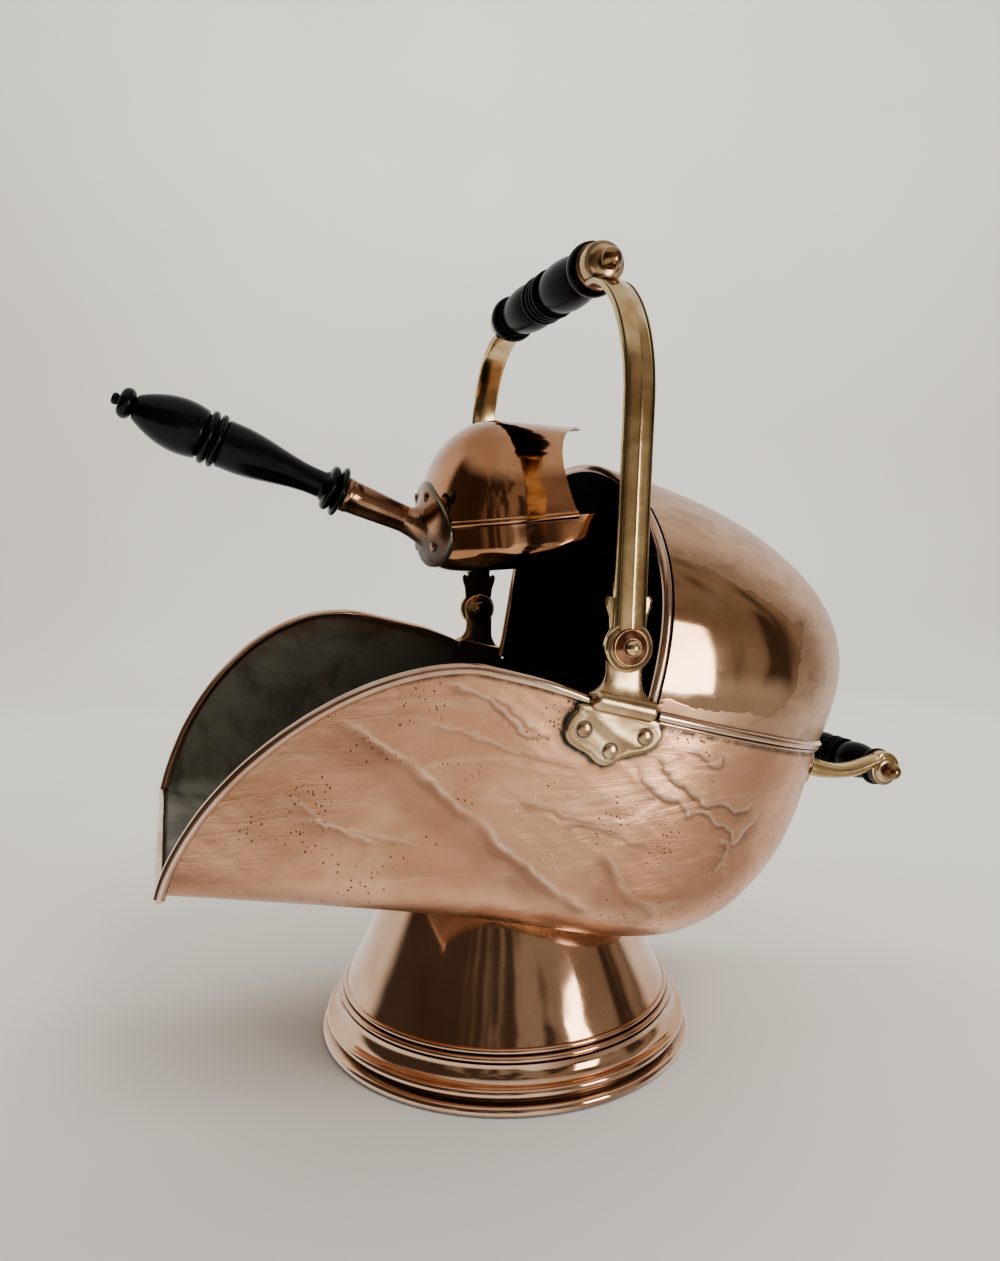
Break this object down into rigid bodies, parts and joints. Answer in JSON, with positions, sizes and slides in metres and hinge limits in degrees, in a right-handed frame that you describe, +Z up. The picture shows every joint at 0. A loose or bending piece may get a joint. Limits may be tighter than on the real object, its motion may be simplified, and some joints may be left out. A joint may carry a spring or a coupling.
{
  "type": "coal scuttle",
  "caption": "Helmet coal scuttle in sheet copper on a round foot, with a swinging bail, a fixed rear handle and a lift-off scoop shovel held under its hood.",
  "frame": {"origin": "centre of the foot's base, on the floor", "axes": "+X from the mouth towards the rear handle, +Z up, +Y towards the far side"},
  "size_m": [0.4718, 0.2752, 0.4562],
  "materials": {
    "body_copper": "satin",
    "polished_copper": "polished",
    "shovel_copper": "polished",
    "cast_brass": "satin",
    "turned_copper": "aged",
    "ebonised_wood": "gloss"
  },
  "bodies": {
    "scuttle": {"trough": "body_copper", "hood": "polished_copper", "wing_wire_near": "polished_copper", "wing_wire_far": "polished_copper", "lip_wire": "polished_copper", "arch_wire": "polished_copper", "seam_band": "polished_copper", "foot_ring": "polished_copper", "foot_cone": "polished_copper", "bracket_near": "cast_brass", "bracket_far": "cast_brass", "bracket_rivets": "cast_brass", "pivot_pin_near": "cast_brass", "pivot_pin_far": "cast_brass", "pivot_washers": "turned_copper", "pivot_nuts": "cast_brass", "rear_bracket_near": "cast_brass", "rear_bracket_far": "cast_brass", "rear_rivets": "cast_brass", "rear_rod": "turned_copper", "front_hanger": "turned_copper", "rear_hanger": "turned_copper", "hanger_rivets": "turned_copper"},
    "bail": {"bail_arm_near": "cast_brass", "bail_arm_far": "cast_brass", "bail_rod": "turned_copper", "bail_washers": "turned_copper"},
    "bail_grip": {"bail_grip": "ebonised_wood"},
    "rear_grip": {"rear_grip": "ebonised_wood"},
    "shovel": {"shovel_pan": "shovel_copper", "shovel_bonnet": "shovel_copper", "shovel_band": "shovel_copper", "shovel_socket": "cast_brass", "shovel_rivets": "cast_brass", "shovel_handle": "ebonised_wood"}
  },
  "joints": [
    {"name": "bail_swing", "type": "hinge", "parent": "scuttle", "child": "bail", "pos_m": [0.0224, 0, 0.2467], "axis": [0, 1, 0], "range_deg": [-48, 66]},
    {"name": "bail_grip_spin", "type": "hinge", "parent": "bail", "child": "bail_grip", "pos_m": [0.03023, 0, 0.44154], "axis": [0, 1, 0], "continuous": true},
    {"name": "rear_grip_spin", "type": "hinge", "parent": "scuttle", "child": "rear_grip", "pos_m": [0.243, 0, 0.149], "axis": [0, 1, 0], "continuous": true},
    {"name": "shovel_slide", "type": "slide", "parent": "scuttle", "child": "shovel", "axis": [-0.9966, 0, -0.0819], "range_m": [0, 0.085]}
  ]
}
